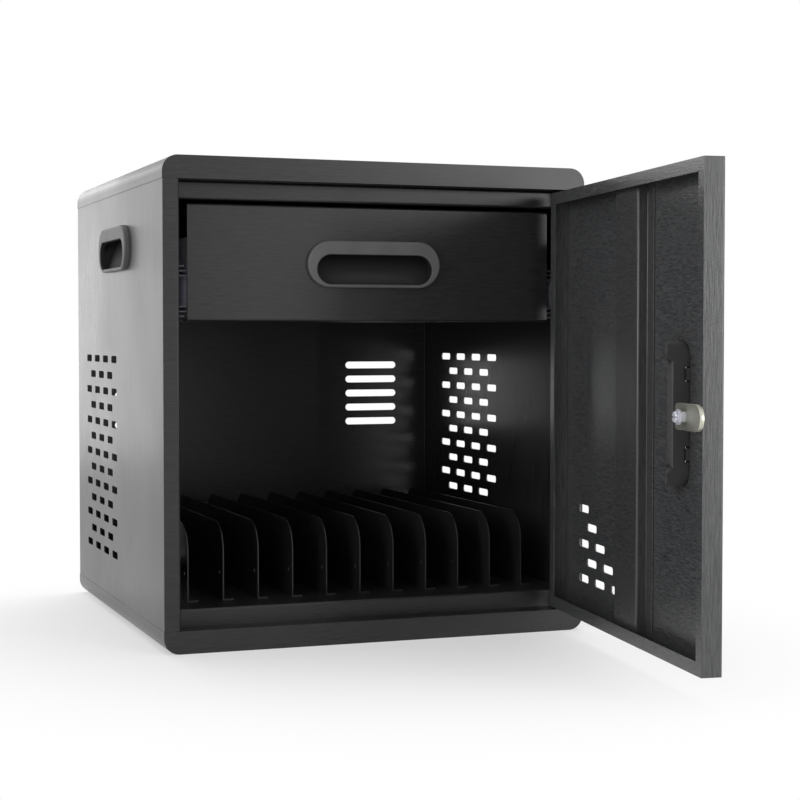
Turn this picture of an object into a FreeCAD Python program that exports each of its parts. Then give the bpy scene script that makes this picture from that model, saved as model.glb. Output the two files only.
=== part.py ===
import FreeCAD, Part
import os
from math import sin, tan

# A steel charging cabinet for upright devices, shown with its door open.
# All sizes are in millimetres. X runs to the right, Y to the back, Z up.
# The origin is the middle of the underside that the cabinet rests on.

V = FreeCAD.Vector
RIGHT = V(1, 0, 0)
BACK = V(0, 1, 0)
UP = V(0, 0, 1)

# Overall box and sheet steel
cabinet_width = 399.0
cabinet_depth = 404.0
cabinet_height = 430.0
sheet = 1.2
bend_radius = 0.8
overrun = 5.0
join_tolerance = 1e-5

# Top and bottom caps
cap_height = 20.0
cap_corner_radius = 14.0
cap_proud = 0.4
cap_ledge_depth = 44.0

# Front frame around the door
jamb_width = 15.0
jamb_return = 18.0
recess_depth = 23.0
header_height = 16.0
header_flange = 18.0
header_lip = 8.0
sill_height = 15.7

# Back panel
back_flange = 30.0
back_slot_length = 60.0
back_slot_height = 7.6
back_slot_pitch = 15.8
back_slot_rows = 5
back_slot_side_room = 37.1
back_slot_rise = 26.7

# Vent fields
vent_length = 25.4
vent_height = 7.0
vent_corner_radius = 2.4
vent_pitch_along = 42.5
vent_pitch_up = 15.83
side_vent_rows = 13
side_vent_columns = 4
side_vent_back_margin = 62.5
side_vent_level = 62.0
door_vent_rows = 5
door_vent_columns = 3
door_vent_margin = 50.5
door_vent_rise = 31.8

# Device bay
divider_count = 11
divider_side_room = 34.4
divider_front = 61.5
divider_back_gap = 2.5
divider_height = 70.0
divider_corner_radius = 26.0
divider_foot = 10.0
divider_hole_radius = 2.2
divider_hole_in = 11.5
divider_hole_up = 24.5

# Door
door_thickness = 17.0
door_gap = 3.85
door_hinge_gap = 4.6
door_latch_gap = 3.7
door_lip = 10.5
door_open_angle = 82.7
stiffener_width = 52.5
stiffener_height = 10.0
stiffener_latch_foot = 13.0
stiffener_hinge_foot = 4.5
stiffener_end_gap = 0.3
stiffener_shift = 3.5

# Butt hinges
hinge_length = 60.0
hinge_margin = 45.0
hinge_axis_depth = 0.8
hinge_leaf = 1.2
hinge_leaf_depth = 14.0
hinge_plate_start = 2.3
knuckle_radius = 2.0
knuckle_gap = 0.3
hinge_pin_radius = 1.0
hinge_pin_fit = 0.05
hinge_head_radius = 1.7
hinge_head_height = 1.0

# Snap-in pull moulding, used on the door, the drawer and both sides
pull_length = 126.0
pull_width = 42.0
pull_proud = 4.8
pull_edge_radius = 1.8
pull_mouth_length = 109.0
pull_mouth_width = 26.2
pull_mouth_edge = 1.0
pull_narrow_lip = 3.1
pull_wall = 1.8
pull_cup_length = 112.6
pull_cup_width = 39.4
pull_cup_corner = 14.0
pull_cup_depth = 15.7
pull_cup_shallow = 4.2
pull_scoop_length = 82.6
pull_crest = 5.0
pull_crest_radius = 1.0
pull_end_depth = 20.2
pull_end_crest = 2.5
pull_end_fall = 2.9
pull_clearance = 0.2
tab_length = 9.4
tab_spacing = 61.6
tab_height = 3.6
tab_proud = 0.8
tab_gap = 0.05
tab_slit = 1.0
door_pull_from_edge = 82.2
carry_handle_drop = 52.5

# Cam lock
lock_from_edge = 23.5
lock_flange_radius = 10.8
lock_flange_height = 2.5
lock_barrel_radius = 8.3
lock_barrel_length = 18.2
lock_hole_clearance = 0.1
lock_nut_across_corners = 21.6
lock_nut_height = 3.5
lock_nut_fit = 0.05
plug_radius = 5.5
plug_fit = 0.05
plug_inset = 0.4
keyway_width = 1.6
keyway_height = 6.6
keyway_depth = 10.0
drive_side = 5.0
drive_fit = 0.1
drive_inset = 0.3
cam_depth = 18.7
cam_thickness = 3.5
cam_width = 20.0
cam_tail_corner = 4.5
cam_reach = 31.0
cam_tail = 17.4
cam_hub_radius = 3.9
cam_hub_height = 3.6
cam_flange_radius = 5.9
cam_flange_height = 1.2
cam_head_radius = 4.2
cam_head_height = 3.2
cam_head_edge = 1.2
cam_slot_width = 1.2
cam_slot_depth = 1.0
cam_shank_radius = 1.8
cam_shank_length = 15.0
cam_shank_fit = 0.1

# Drawer
drawer_side_gap = 12.1
drawer_top_gap = 3.5
drawer_front_height = 102.5
drawer_return = 15.0
drawer_overlap = 1.0
tray_back_room = 44.8
tray_height = 72.0
tray_notch_width_share = 0.41
tray_notch_depth = 30.0
tray_notch_radius = 8.0
tray_notch_shift_share = 0.58

# Telescopic slides
slide_thickness = 12.7
slide_height = 45.0
slide_rise = 26.0
slide_front = 2.0
slide_back_room = 39.0
slide_gap = 0.3
slide_ball = 3.0
slide_flange_step = 1.6
bracket_margin = 0.5

# Power inlet and switches
inlet_from_side = 79.5
inlet_level = 80.0
inlet_flange_length = 50.0
inlet_flange_width = 28.0
inlet_flange_corner = 5.0
inlet_flange_height = 3.0
inlet_body_length = 28.0
inlet_body_width = 21.0
inlet_body_corner = 2.0
inlet_body_depth = 24.0
inlet_mouth_length = 24.0
inlet_mouth_width = 16.6
inlet_mouth_chamfer = 4.5
inlet_mouth_depth = 17.0
inlet_pin_width = 2.0
inlet_pin_height = 4.2
inlet_pin_pitch = 7.0
inlet_pin_stagger = 2.0
inlet_pin_length = 24.0
inlet_pin_inset = 3.0
inlet_fit = 0.1
inlet_clearance = 0.3
inlet_screw_spacing = 40.0
inlet_screw_radius = 1.5
inlet_screw_head = 2.9
inlet_screw_head_height = 1.5
inlet_screw_length = 9.0
switch_from_inlet = 55.0
switch_flange_length = 34.0
switch_flange_width = 24.0
switch_flange_height = 2.5
switch_body_length = 30.0
switch_body_width = 20.0
switch_body_depth = 20.0
switch_corner = 1.5
rocker_length = 22.0
rocker_width = 13.0
rocker_rise = 5.0
rocker_dip = 1.6
rocker_drop = 4.0
rocker_corner = 0.6
rocker_pivot = 2.0
rocker_pin_radius = 1.2
rocker_pin_reach = 1.5
rocker_pin_fit = 0.05
rocker_end_clearance = 1.2
rocker_side_clearance = 0.3
rocker_well = 10.0
rocker_tilt = 8.0

# Power strip in the drawer
strip_side_room = 20.2
strip_width = 46.0
strip_height = 34.0
strip_corner = 4.0
strip_back_gap = 12.0
outlet_count = 8
outlet_switch_room = 44.0
outlet_gap = 6.0
outlet_corner = 3.0
outlet_depth = 6.0
outlet_fit = 0.1
outlet_slot_width = 2.0
outlet_slot_height_share = 0.27
outlet_slot_spacing_share = 0.49
outlet_slot_depth = 5.0
outlet_ground_radius_share = 0.09
outlet_ground_shift_share = 0.29

# Levels and planes that follow from the sizes above
half_width = cabinet_width / 2
front_y = -cabinet_depth / 2
back_y = cabinet_depth / 2
cap_seam = cabinet_height - cap_height
wall_out = half_width - cap_proud
wall_in = wall_out - sheet
jamb_edge = half_width - jamb_width
recess_y = front_y + recess_depth
bay_level = cap_height + sill_height
middle_level = cabinet_height / 2
hinge_x = jamb_edge - door_hinge_gap / 2
hinge_y = front_y + hinge_axis_depth
door_hinge_edge = jamb_edge - door_hinge_gap
door_latch_edge = door_latch_gap - jamb_edge
door_base = cap_height + door_gap
door_top = cap_seam - door_gap
door_inner_y = front_y + door_thickness
drawer_half = jamb_edge - drawer_side_gap
drawer_top = cap_seam - header_height - drawer_top_gap
drawer_base = drawer_top - drawer_front_height
drawer_pull_level = (drawer_base + drawer_top) / 2
tray_side = drawer_half - drawer_overlap
tray_front_y = recess_y + sheet + bend_radius
tray_back_y = back_y - tray_back_room
tray_base = drawer_base + sheet
slide_mount = tray_side + slide_thickness
slide_start = recess_y + slide_front
slide_length = back_y - slide_back_room - slide_start
slide_level = drawer_base + slide_rise
fin_front = front_y + divider_front
fin_length = back_y - inlet_body_depth - divider_back_gap - fin_front
fin_pitch = (wall_in - divider_side_room) * 2 / (divider_count - 1)
handle_level = cap_seam - carry_handle_drop
strip_length = (tray_side - sheet - strip_side_room) * 2
outlet_pitch = (strip_length - outlet_switch_room) / outlet_count
outlet_side = outlet_pitch - outlet_gap
strip_switch_at = (strip_length - outlet_switch_room) / 2


def plan(level):
    """Map a flat point to the horizontal plane at a level."""
    return lambda point: V(point.x, point.y, level)


def facing(depth):
    """Map a flat point to the upright plane that faces the front, at a depth."""
    return lambda point: V(point.x, depth, point.y)


def sideways(across):
    """Map a flat point to the upright plane that faces the side."""
    return lambda point: V(across, point.x, point.y)


def rounded_wire(corners, place):
    """Close a wire through corners of (a, b, radius)."""
    flat = [V(a, b, 0) for a, b, radius in corners]
    joints = []
    for index, (a, b, radius) in enumerate(corners):
        here = flat[index]
        if not radius:
            joints.append((here, None, here))
            continue
        back = (flat[index - 1] - here).normalize()
        ahead = (flat[(index + 1) % len(flat)] - here).normalize()
        half = back.getAngle(ahead) / 2
        inward = (back + ahead).normalize()
        middle = here + inward * (radius / sin(half) - radius)
        reach = radius / tan(half)
        joints.append((here + back * reach, middle, here + ahead * reach))
    edges = []
    for index, (start, middle, end) in enumerate(joints):
        last = joints[index - 1][2]
        if not last.isEqual(start, join_tolerance):
            edges.append(Part.LineSegment(place(last), place(start)).toShape())
        if middle is not None:
            edges.append(Part.Arc(place(start), place(middle), place(end)).toShape())
    return Part.Wire(edges)


def prism(corners, place, reach):
    """Extrude a rounded outline along a vector."""
    return Part.Face(rounded_wire(corners, place)).extrude(reach)


def folded(path):
    """Outline a folded sheet that lies to the left of a path, with bent corners."""
    points = [V(a, b, 0) for a, b in path]
    runs = [(end - start).normalize() for start, end in zip(points, points[1:])]
    lefts = [V(-run.y, run.x, 0) for run in runs]
    outer = bend_radius + sheet
    first = points[0] + lefts[0] * sheet
    near = [(points[0].x, points[0].y, 0)]
    far = [(first.x, first.y, 0)]
    for index, point in enumerate(points[1:-1]):
        before, after = lefts[index], lefts[index + 1]
        other = point + (before + after) * (sheet / (1 + before.dot(after)))
        bends_left = runs[index].cross(runs[index + 1]).z > 0
        near.append((point.x, point.y, outer if bends_left else bend_radius))
        far.append((other.x, other.y, bend_radius if bends_left else outer))
    last = points[-1] + lefts[-1] * sheet
    near.append((points[-1].x, points[-1].y, 0))
    far.append((last.x, last.y, 0))
    return near + far[::-1]


def rectangle(length, width, radius):
    """Outline a rectangle about the origin with rounded corners."""
    a, b = length / 2, width / 2
    return [(-a, -b, radius), (a, -b, radius), (a, b, radius), (-a, b, radius)]


def shifted(corners, a, b):
    """Move an outline in its own plane."""
    return [(x + a, y + b, radius) for x, y, radius in corners]


def box(x_span, y_span, z_span):
    """Fill the box between two limits on each axis."""
    low = V(x_span[0], y_span[0], z_span[0])
    high = V(x_span[1], y_span[1], z_span[1])
    size = high - low
    return Part.makeBox(size.x, size.y, size.z, low)


def disc(radius, low, high, centre=V(0, 0, 0)):
    """Fill an upright cylinder between two levels."""
    return Part.makeCylinder(radius, high - low, centre + UP * low)


def placed(shape, origin, along, outward):
    """Move a shape from its own frame: X along the panel, Z out of it."""
    across = outward.cross(along)
    matrix = FreeCAD.Matrix(
        along.x, across.x, outward.x, origin.x,
        along.y, across.y, outward.y, origin.y,
        along.z, across.z, outward.z, origin.z,
    )
    moved = shape.copy()
    moved.Placement = FreeCAD.Placement(matrix)
    return moved


def mirrored(shape):
    """Mirror a right-hand piece to the left."""
    return shape.mirror(V(0, 0, 0), RIGHT)


def on_door(shape):
    """Swing a piece built on the closed door to the open rest position."""
    swung = shape.copy()
    swung.rotate(V(hinge_x, hinge_y, 0), UP, door_open_angle)
    return swung


def write(name, shape):
    """Save one piece."""
    shape.exportStep("parts/" + name + ".step")


def vent_rows(rows, columns, tapered):
    """Yield (column, row) places of a staggered field, which may taper upwards."""
    for row in range(rows):
        dropped = (row + 1) // 2 if tapered else row % 2
        for column in range(columns - dropped):
            yield column + (row % 2) / 2, row


def top_cap():
    """Folded cover with rounded sides, closed ends and a ledge over the recess."""
    outer = [
        (-half_width, cap_seam, 0),
        (half_width, cap_seam, 0),
        (half_width, cabinet_height, cap_corner_radius),
        (-half_width, cabinet_height, cap_corner_radius),
    ]
    span = half_width - sheet
    inner = [
        (-span, cap_seam - overrun, 0),
        (span, cap_seam - overrun, 0),
        (span, cabinet_height - sheet, cap_corner_radius - sheet),
        (-span, cabinet_height - sheet, cap_corner_radius - sheet),
    ]
    shell = prism(outer, facing(front_y), BACK * cabinet_depth)
    hollow = prism(inner, facing(front_y + sheet), BACK * (cabinet_depth - sheet - sheet))
    ledge = box((-span, span), (front_y + sheet, front_y + cap_ledge_depth), (cap_seam, cap_seam + sheet))
    return shell.cut(hollow).fuse(ledge).removeSplitter()


def pull_outline(grow):
    """Outline of the cup behind the panel, grown for the hole that takes it."""
    return rectangle(
        pull_cup_length + grow + grow,
        pull_cup_width + grow + grow,
        pull_cup_corner + grow,
    )


def cup_section(inset, depth, crest):
    """Section of the cup: deep behind the wide lip, running out to the narrow one."""
    half = pull_cup_width / 2
    return [
        (half - inset, 0, 0),
        (half - inset, inset - depth, pull_crest_radius),
        (half - crest, inset - depth, pull_crest_radius),
        (inset - half, inset - pull_cup_shallow, pull_crest_radius),
        (inset - half, 0, 0),
    ]


def end_profile():
    """Side view of the cup: deeper end blocks that ramp up from the scoop and fall away again."""
    end, ramp = pull_cup_length / 2, pull_scoop_length / 2
    step = pull_end_depth - pull_cup_depth
    half = [
        (ramp, -pull_cup_depth, 0),
        (ramp + step, -pull_end_depth, 0),
        (end, pull_end_fall - pull_end_depth, 0),
        (end, 0, 0),
    ]
    return half + [(-a, b, radius) for a, b, radius in half[::-1]]


def pull():
    """Snap-in cup pull: bezel, scooped cup, end blocks and snap tabs."""
    mouth_shift = pull_narrow_lip + pull_mouth_width / 2 - pull_width / 2
    mouth = shifted(rectangle(pull_mouth_length, pull_mouth_width, pull_mouth_width / 2), 0, mouth_shift)
    bezel = prism(rectangle(pull_length, pull_width, pull_width / 2), plan(0), UP * pull_proud)
    rim = [edge for edge in bezel.Edges if edge.BoundBox.ZMin > pull_proud - join_tolerance]
    bezel = bezel.makeFillet(pull_edge_radius, rim)
    half = pull_cup_width / 2
    length = RIGHT * pull_cup_length
    start = sideways(-pull_cup_length / 2)
    scoop = prism(cup_section(0, pull_cup_depth, pull_crest), start, length)
    blocks = prism(cup_section(0, pull_end_depth, pull_end_crest), start, length)
    blocks = blocks.common(prism(end_profile(), facing(-half), BACK * pull_cup_width))
    blocks = blocks.cut(box(
        (-pull_scoop_length / 2, pull_scoop_length / 2),
        (-half - overrun, half + overrun),
        (-pull_end_depth - overrun, overrun),
    ))
    trim = prism(pull_outline(0), plan(-pull_end_depth), UP * pull_end_depth)
    cup = blocks.fuse(scoop).common(trim)
    low = -sheet - tab_gap - tab_height
    for place in (-tab_spacing / 2, tab_spacing / 2):
        ends = (place - tab_length / 2, place + tab_length / 2)
        tab = box(ends, (half - pull_wall, half + tab_proud), (low, low + tab_height))
        cup = cup.fuse(tab)
    hollow = prism(cup_section(pull_wall, pull_cup_depth, pull_crest), start, length)
    hollow = hollow.common(prism(pull_outline(-pull_wall), plan(-pull_cup_depth), UP * pull_cup_depth))
    for place in (-tab_spacing / 2, tab_spacing / 2):
        for end in (-tab_length / 2 - tab_slit, tab_length / 2):
            slit = box(
                (place + end, place + end + tab_slit),
                (half - pull_wall - pull_wall, half + overrun),
                (low, low + tab_height),
            )
            hollow = hollow.fuse(slit)
    opening = prism(mouth, plan(0), UP * (pull_proud + overrun))
    solid = bezel.fuse(cup).removeSplitter().cut(hollow).cut(opening)
    reach = pull_mouth_length / 2 + join_tolerance
    lip = [
        edge
        for edge in solid.Edges
        if edge.BoundBox.ZMin > pull_proud - join_tolerance
        and abs(edge.CenterOfMass.y - mouth_shift) < pull_mouth_width / 2 + join_tolerance
        and abs(edge.CenterOfMass.x) < reach
    ]
    return solid.makeFillet(pull_mouth_edge, lip)


def hinge_leaf_with(knuckles, low, plate):
    """One hinge leaf: a plate on a face, and the knuckles it owns around the pin."""
    third = hinge_length / 3
    centre = V(hinge_x, hinge_y, 0)
    leaf = box(plate, (hinge_y + hinge_plate_start, hinge_y + hinge_leaf_depth), (low, low + hinge_length))
    for knuckle in knuckles:
        start = low + knuckle * third + knuckle_gap / 2
        span = (start, start + third - knuckle_gap)
        leaf = leaf.fuse(disc(knuckle_radius, span[0], span[1], centre))
        leaf = leaf.fuse(box(plate, (hinge_y, hinge_y + hinge_plate_start), span))
    bore = disc(hinge_pin_radius + hinge_pin_fit, low - overrun, low + hinge_length + overrun, centre)
    return leaf.cut(bore).removeSplitter()


def hinge_pin(low):
    """Headed pin through the knuckles of one hinge."""
    centre = V(hinge_x, hinge_y, 0)
    top = low + hinge_length
    return disc(hinge_pin_radius, low, top, centre).fuse(
        disc(hinge_head_radius, top, top + hinge_head_height, centre)
    ).removeSplitter()


def rocker_pin(radius, reach):
    """Pivot across a rocker, standing out at both sides."""
    half = rocker_width / 2 + reach
    return Part.makeCylinder(radius, half + half, V(-half, 0, -rocker_pivot), RIGHT)


def rocker():
    """Rocker with a shallow valley, tilted to its off side about its pivot."""
    half = rocker_length / 2
    section = [
        (-half, -rocker_drop, rocker_corner),
        (half, -rocker_drop, rocker_corner),
        (half, rocker_rise, rocker_corner),
        (0, rocker_rise - rocker_dip, 0),
        (-half, rocker_rise, rocker_corner),
    ]
    body = prism(section, sideways(-rocker_width / 2), RIGHT * rocker_width)
    body.rotate(V(0, 0, 0), RIGHT, -rocker_tilt)
    body.translate(UP * -rocker_pivot)
    return body.fuse(rocker_pin(rocker_pin_radius, rocker_pin_reach)).removeSplitter()


def rocker_pocket():
    """Well in which a rocker tilts, with a bearing hole at each side."""
    outline = rectangle(
        rocker_width + rocker_side_clearance + rocker_side_clearance,
        rocker_length + rocker_end_clearance + rocker_end_clearance,
        0,
    )
    well = prism(outline, plan(-rocker_well), UP * (rocker_well + overrun))
    bearing = rocker_pin(rocker_pin_radius + rocker_pin_fit, rocker_pin_reach + rocker_side_clearance)
    return well.fuse(bearing)


def rail(web, reach, half, side):
    """Slide rail for the right: a channel with its web at one side and flanges to the other."""
    low, high = slide_level - half, slide_level + half
    path = [(reach, high), (web, high), (web, low), (reach, low)]
    if side > 0:
        path = path[::-1]
    return prism(folded(path), facing(slide_start), BACK * slide_length)


os.makedirs("parts", exist_ok=True)

# Caps
cover = top_cap()
write("top_cap", cover)
write("bottom_cap", cover.mirror(UP * middle_level, UP))

# Side panels with their vents and the hole for the carry handle
side_vents = []
for column, row in vent_rows(side_vent_rows, side_vent_columns, False):
    vent_y = back_y - side_vent_back_margin - column * vent_pitch_along
    vent_z = side_vent_level + row * vent_pitch_up
    outline = shifted(rectangle(vent_length, vent_height, vent_corner_radius), vent_y, vent_z)
    side_vents.append(prism(outline, sideways(wall_in - overrun), RIGHT * (sheet + overrun + overrun)))
wall = box((wall_in, wall_out), (front_y + sheet, back_y), (cap_height, cap_seam))
handle_hole = prism(
    shifted(pull_outline(pull_clearance), 0, handle_level),
    sideways(wall_in - overrun),
    RIGHT * (sheet + overrun + overrun),
)
side_panel = wall.cut(Part.makeCompound(side_vents)).cut(handle_hole)
write("right_side_panel", side_panel)
write("left_side_panel", mirrored(side_panel))

# Jambs, each with a return that the lock cam reaches behind
jamb_path = [
    (jamb_edge, front_y + jamb_return),
    (jamb_edge, front_y),
    (wall_out, front_y),
]
jamb = prism(folded(jamb_path), plan(cap_height), UP * (cap_seam - cap_height))
write("right_jamb", jamb)
write("left_jamb", mirrored(jamb))

# Header strip above the drawer
header_path = [
    (recess_y + header_flange, cap_seam),
    (recess_y, cap_seam),
    (recess_y, cap_seam - header_height),
    (recess_y + header_lip, cap_seam - header_height),
]
write("header_stop", prism(folded(header_path), sideways(-wall_in), RIGHT * (wall_in + wall_in)))

# Bay floor, turned down in front as the sill and behind against the back panel
floor_half = wall_in - sheet - bend_radius
floor_path = [
    (back_y - sheet, cap_height),
    (back_y - sheet, bay_level),
    (recess_y, bay_level),
    (recess_y, cap_height),
]
write("bay_floor", prism(folded(floor_path), sideways(-floor_half), RIGHT * (floor_half + floor_half)))

# Divider fins on the bay floor
fin_top = bay_level + divider_height
fin_outline = [
    (fin_front, bay_level, 0),
    (fin_front + fin_length, bay_level, 0),
    (fin_front + fin_length, fin_top, divider_corner_radius),
    (fin_front, fin_top, divider_corner_radius),
]
for number in range(divider_count):
    fin_x = (number - (divider_count - 1) / 2) * fin_pitch - sheet / 2
    fin = prism(fin_outline, sideways(fin_x), RIGHT * sheet)
    foot_run = (fin_front, fin_front + fin_length)
    foot = box((fin_x, fin_x + divider_foot), foot_run, (bay_level, bay_level + sheet))
    hole = Part.makeCylinder(
        divider_hole_radius,
        sheet + overrun + overrun,
        V(fin_x - overrun, fin_front + divider_hole_in, bay_level + divider_hole_up),
        RIGHT,
    )
    write("divider_%02d" % (number + 1), fin.fuse(foot).removeSplitter().cut(hole))

# Pulls: one moulding in four places
moulding = pull()
handle_at = V(wall_out, 0, handle_level)
write("right_carry_handle", placed(moulding, handle_at, BACK, RIGHT))
write("left_carry_handle", placed(moulding, V(-wall_out, 0, handle_level), -BACK, -RIGHT))
write("drawer_pull", placed(moulding, V(0, recess_y, drawer_pull_level), RIGHT, -BACK))
door_pull_x = door_latch_edge + door_pull_from_edge
write("door_pull", on_door(placed(moulding, V(door_pull_x, front_y, middle_level), UP, -BACK)))

# Back panel with slots, inlet and switch cut-outs
inlet_at = V(inlet_from_side - half_width, back_y, inlet_level)
switch_at = inlet_at + RIGHT * switch_from_inlet
back_path = [
    (wall_in, back_y - back_flange),
    (wall_in, back_y),
    (-wall_in, back_y),
    (-wall_in, back_y - back_flange),
]
back = prism(folded(back_path), plan(cap_height), UP * (cap_seam - cap_height))
through = BACK * (sheet + overrun + overrun)
openings = []
for row in range(back_slot_rows):
    slot_z = middle_level + back_slot_rise - row * back_slot_pitch
    slot_x = wall_in - back_slot_side_room - back_slot_length / 2
    for hand in (-slot_x, slot_x):
        slot = shifted(rectangle(back_slot_length, back_slot_height, back_slot_height / 2), hand, slot_z)
        openings.append(prism(slot, facing(back_y - sheet - overrun), through))
inlet_hole = rectangle(
    inlet_body_length + inlet_clearance + inlet_clearance,
    inlet_body_width + inlet_clearance + inlet_clearance,
    inlet_body_corner,
)
behind = facing(back_y - sheet - overrun)
openings.append(prism(shifted(inlet_hole, inlet_at.x, inlet_level), behind, through))
switch_hole = rectangle(
    switch_body_width + inlet_clearance + inlet_clearance,
    switch_body_length + inlet_clearance + inlet_clearance,
    switch_corner,
)
openings.append(prism(shifted(switch_hole, switch_at.x, inlet_level), behind, through))
screw_hole_radius = inlet_screw_radius + inlet_fit
for hand in (-inlet_screw_spacing / 2, inlet_screw_spacing / 2):
    start = inlet_at + RIGHT * hand - BACK * (sheet + overrun)
    openings.append(Part.makeCylinder(screw_hole_radius, sheet + overrun + overrun, start, BACK))
write("back_panel", back.cut(Part.makeCompound(openings)))

# Power inlet with its pins and screws
inlet_flange = prism(
    rectangle(inlet_flange_length, inlet_flange_width, inlet_flange_corner),
    plan(0),
    UP * inlet_flange_height,
)
inlet_body = prism(
    rectangle(inlet_body_length, inlet_body_width, inlet_body_corner),
    plan(-inlet_body_depth),
    UP * inlet_body_depth,
)
mouth_a, mouth_b = inlet_mouth_length / 2, inlet_mouth_width / 2
mouth_outline = [
    (-mouth_a, -mouth_b, 0),
    (mouth_a, -mouth_b, 0),
    (mouth_a, mouth_b - inlet_mouth_chamfer, 0),
    (mouth_a - inlet_mouth_chamfer, mouth_b, 0),
    (inlet_mouth_chamfer - mouth_a, mouth_b, 0),
    (-mouth_a, mouth_b - inlet_mouth_chamfer, 0),
]
mouth_floor = inlet_flange_height - inlet_mouth_depth
inlet_mouth = prism(mouth_outline, plan(mouth_floor), UP * (inlet_mouth_depth + overrun))
inlet = inlet_flange.fuse(inlet_body).removeSplitter().cut(inlet_mouth)
pins = []
screws = []
for step in (-1, 0, 1):
    pin_a = step * inlet_pin_pitch
    pin_b = (1 - 2 * abs(step)) * inlet_pin_stagger
    pin_top = inlet_flange_height - inlet_pin_inset
    pin = shifted(rectangle(inlet_pin_width, inlet_pin_height, 0), pin_a, pin_b)
    pins.append(prism(pin, plan(pin_top - inlet_pin_length), UP * inlet_pin_length))
    slot = shifted(
        rectangle(inlet_pin_width + inlet_fit + inlet_fit, inlet_pin_height + inlet_fit + inlet_fit, 0),
        pin_a,
        pin_b,
    )
    inlet = inlet.cut(prism(slot, plan(-inlet_body_depth - overrun), UP * (inlet_body_depth + overrun)))
for hand in (-inlet_screw_spacing / 2, inlet_screw_spacing / 2):
    centre = RIGHT * hand
    inlet = inlet.cut(disc(screw_hole_radius, -overrun, inlet_flange_height + overrun, centre))
    head_top = inlet_flange_height + inlet_screw_head_height
    head = disc(inlet_screw_head, inlet_flange_height, head_top, centre)
    shank = disc(inlet_screw_radius, inlet_flange_height - inlet_screw_length, inlet_flange_height, centre)
    screws.append(head.fuse(shank).removeSplitter())
write("power_inlet", placed(inlet, inlet_at, RIGHT, BACK))
write("inlet_pins", placed(Part.makeCompound(pins), inlet_at, RIGHT, BACK))
write("inlet_screws", placed(Part.makeCompound(screws), inlet_at, RIGHT, BACK))

# Main switch
switch_flange = prism(
    rectangle(switch_flange_width, switch_flange_length, switch_corner),
    plan(0),
    UP * switch_flange_height,
)
switch_body = prism(
    rectangle(switch_body_width, switch_body_length, switch_corner),
    plan(-switch_body_depth),
    UP * switch_body_depth,
)
bezel = switch_flange.fuse(switch_body).removeSplitter().cut(rocker_pocket())
write("switch_bezel", placed(bezel, switch_at, RIGHT, BACK))
write("main_rocker", placed(rocker(), switch_at, RIGHT, BACK))

# Hinges: the leaf on the jamb, the leaf on the door edge and the pin
pins = []
hinges = (("lower", door_base + hinge_margin), ("upper", door_top - hinge_margin - hinge_length))
for name, low in hinges:
    jamb_leaf = hinge_leaf_with((0, 2), low, (jamb_edge - hinge_leaf, jamb_edge))
    door_leaf = hinge_leaf_with((1,), low, (door_hinge_edge, door_hinge_edge + hinge_leaf))
    write(name + "_hinge_jamb_leaf", jamb_leaf)
    write(name + "_hinge_door_leaf", on_door(door_leaf))
    pins.append(hinge_pin(low))
write("hinge_pins", Part.makeCompound(pins))

# Door pan with return lips, vents, and holes for the pull and the lock
lock_x = door_latch_edge + lock_from_edge
bend = bend_radius + sheet
pan_outline = [
    (door_latch_edge, front_y, bend),
    (door_hinge_edge, front_y, bend),
    (door_hinge_edge, door_inner_y, 0),
    (door_latch_edge, door_inner_y, 0),
]
pan = prism(pan_outline, plan(door_base), UP * (door_top - door_base))
pan = pan.cut(box(
    (door_latch_edge + sheet, door_hinge_edge - sheet),
    (front_y + sheet, door_inner_y - sheet),
    (door_base + sheet, door_top - sheet),
))
pan = pan.cut(box(
    (door_latch_edge + door_lip, door_hinge_edge - door_lip),
    (front_y + sheet, door_inner_y + overrun),
    (door_base + door_lip, door_top - door_lip),
))
holes = []
for column, row in vent_rows(door_vent_rows, door_vent_columns, True):
    vent_x = door_hinge_edge - door_vent_margin - column * vent_pitch_along
    vent_z = door_base + door_vent_rise + row * vent_pitch_up
    outline = shifted(rectangle(vent_length, vent_height, vent_corner_radius), vent_x, vent_z)
    holes.append(prism(outline, facing(front_y - overrun), through))
pull_hole = prism(pull_outline(pull_clearance), plan(-sheet - overrun), UP * (sheet + overrun + overrun))
holes.append(placed(pull_hole, V(door_pull_x, front_y, middle_level), UP, -BACK))
holes.append(Part.makeCylinder(
    lock_barrel_radius + lock_hole_clearance,
    sheet + overrun + overrun,
    V(lock_x, front_y - overrun, middle_level),
    BACK,
))
write("door_panel", on_door(pan.cut(Part.makeCompound(holes))))

# Stiffener down the middle of the door
hat_middle = (door_latch_edge + door_hinge_edge) / 2 - stiffener_shift
hat_low = front_y + sheet
hat_path = [
    (hat_middle - stiffener_width / 2 - stiffener_latch_foot, hat_low),
    (hat_middle - stiffener_width / 2 + sheet, hat_low),
    (hat_middle - stiffener_width / 2 + sheet, hat_low + stiffener_height - sheet),
    (hat_middle + stiffener_width / 2 - sheet, hat_low + stiffener_height - sheet),
    (hat_middle + stiffener_width / 2 - sheet, hat_low),
    (hat_middle + stiffener_width / 2 + stiffener_hinge_foot, hat_low),
]
hat_base = door_base + sheet + stiffener_end_gap
hat = prism(folded(hat_path), plan(hat_base), UP * (door_top - sheet - stiffener_end_gap - hat_base))
write("door_stiffener", on_door(hat))

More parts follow.
